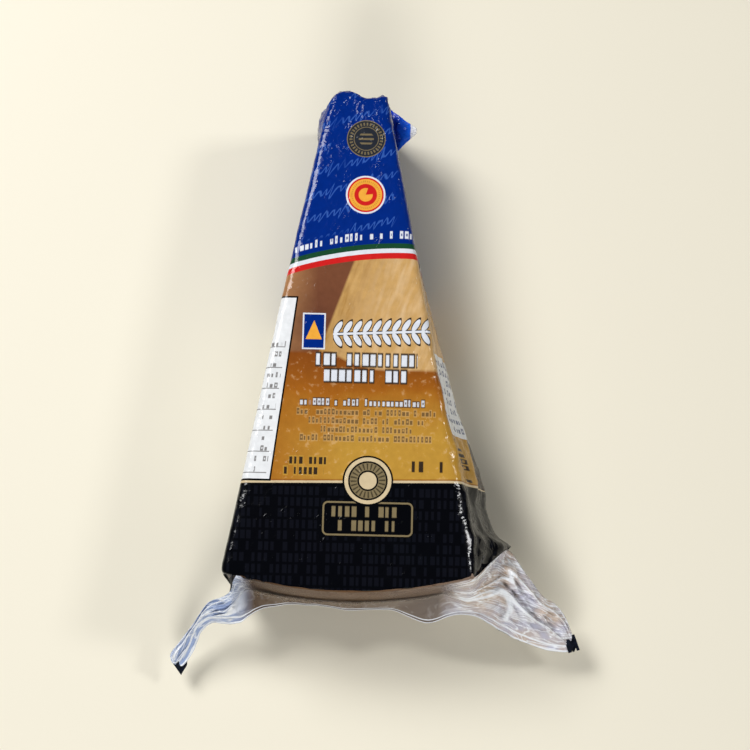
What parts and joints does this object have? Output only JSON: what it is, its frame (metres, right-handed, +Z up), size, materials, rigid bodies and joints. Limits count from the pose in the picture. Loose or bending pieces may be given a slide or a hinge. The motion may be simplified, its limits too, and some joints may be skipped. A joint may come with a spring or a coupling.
{
  "type": "packed parmesan wedge",
  "caption": "Wedge of hard cheese sealed in tight printed film, lying on its back, with a clear seal across the rind and two long film ears.",
  "frame": {"origin": "middle of the pack's box, on the surface that it rests on", "axes": "+Y towards the wedge's apex, +Z up out of the printed front, +X towards the longer film ear"},
  "size_m": [0.1466, 0.2056, 0.046],
  "materials": {
    "printed_film": "glossy printed film, wrinkled",
    "clear_film": "clear film, creased and glossy",
    "cheese_rind": "waxy brown rind under film"
  },
  "bodies": {
    "root": {"wrapped_wedge": "printed_film", "clear_end_film": "clear_film", "apex_tab": "printed_film"}
  },
  "joints": []
}
